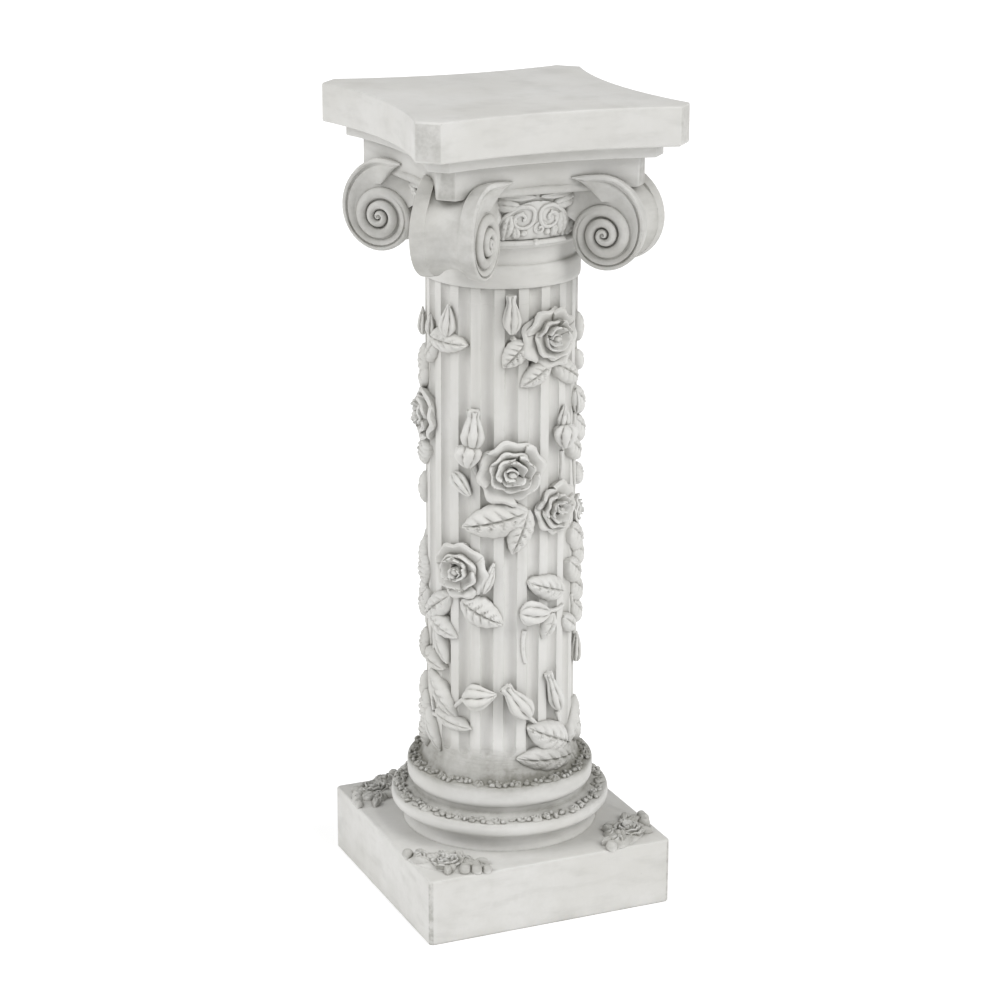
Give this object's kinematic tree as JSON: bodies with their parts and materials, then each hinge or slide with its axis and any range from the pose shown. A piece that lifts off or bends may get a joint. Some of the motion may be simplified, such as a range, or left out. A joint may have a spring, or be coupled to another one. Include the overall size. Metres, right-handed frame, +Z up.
{
  "type": "column pedestal",
  "caption": "Square-based pedestal as a short fluted column, with corner volutes under a hollow-sided top slab and roses and leaves climbing the shaft; carries a pot, bust or lamp.",
  "frame": {"origin": "centre of the square underside", "axes": "+Z up along the column axis, -Y out of the front face, X and Y square to the plinth sides"},
  "size_m": [0.26, 0.26, 0.76],
  "materials": {
    "cast_resin": "satin-matt off-white with a grey-olive wash in the hollows"
  },
  "bodies": {
    "root": {"column_pedestal": "cast_resin"}
  },
  "joints": []
}
